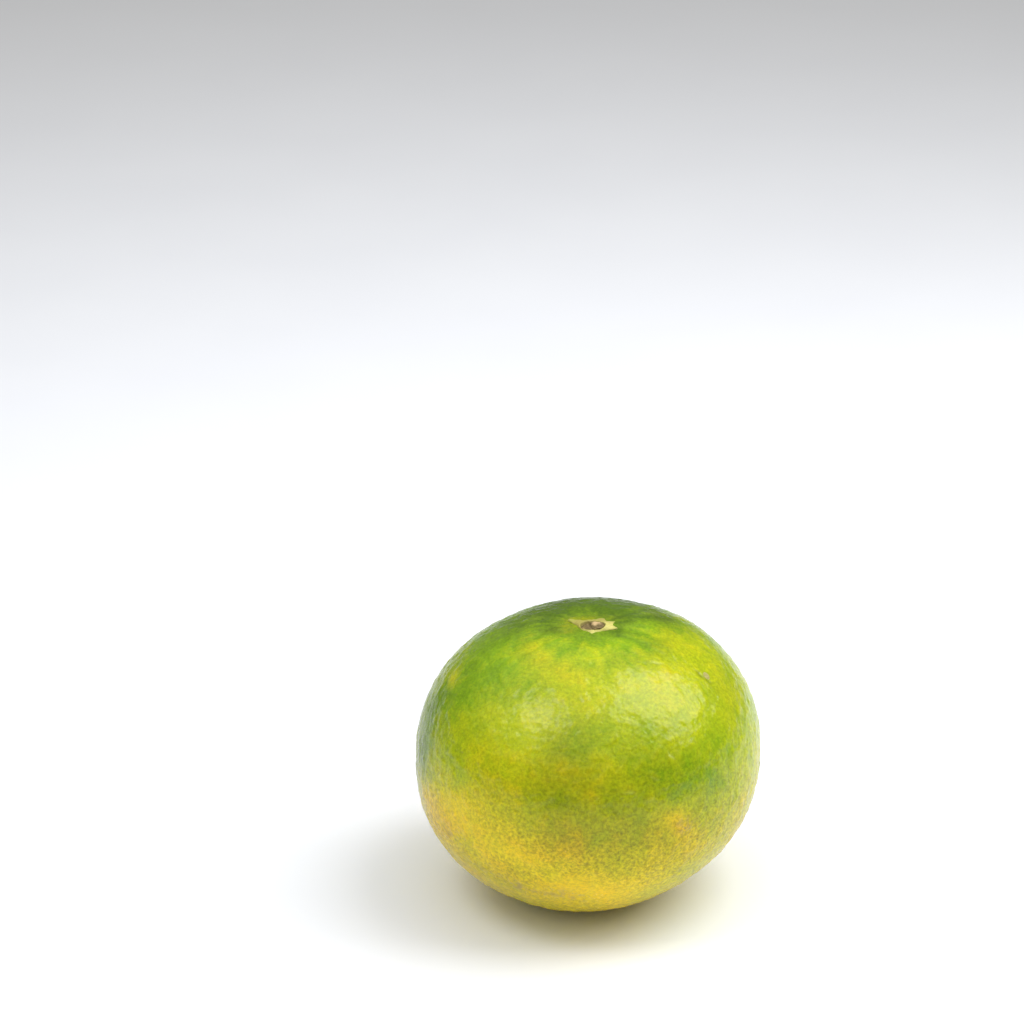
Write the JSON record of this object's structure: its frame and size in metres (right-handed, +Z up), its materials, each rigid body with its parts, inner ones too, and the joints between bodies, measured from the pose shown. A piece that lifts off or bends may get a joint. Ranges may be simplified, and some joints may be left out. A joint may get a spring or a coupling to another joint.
{
  "type": "sweet orange",
  "caption": "Whole sweet orange as picked, green ripening to yellow, with pitted rind, star-shaped calyx at the crown and a small flat spot that it rests on.",
  "frame": {"origin": "middle of the small flat spot at the blossom end, on the surface that the fruit rests on", "axes": "+Z up from the blossom end to the stem end; -Y is the side that faces the picture's camera, +X is to that camera's right"},
  "size_m": [0.0699, 0.0698, 0.0591],
  "materials": {
    "rind": "waxy semi-gloss rind, finely pitted, green turning yellow",
    "calyx": "dry, matt, pale cream-yellow with greener tips",
    "stem_stub": "dry, matt, dark brown torn fibres"
  },
  "bodies": {
    "root": {"fruit": "rind", "calyx": "calyx", "stem_stub": "stem_stub"}
  },
  "joints": []
}
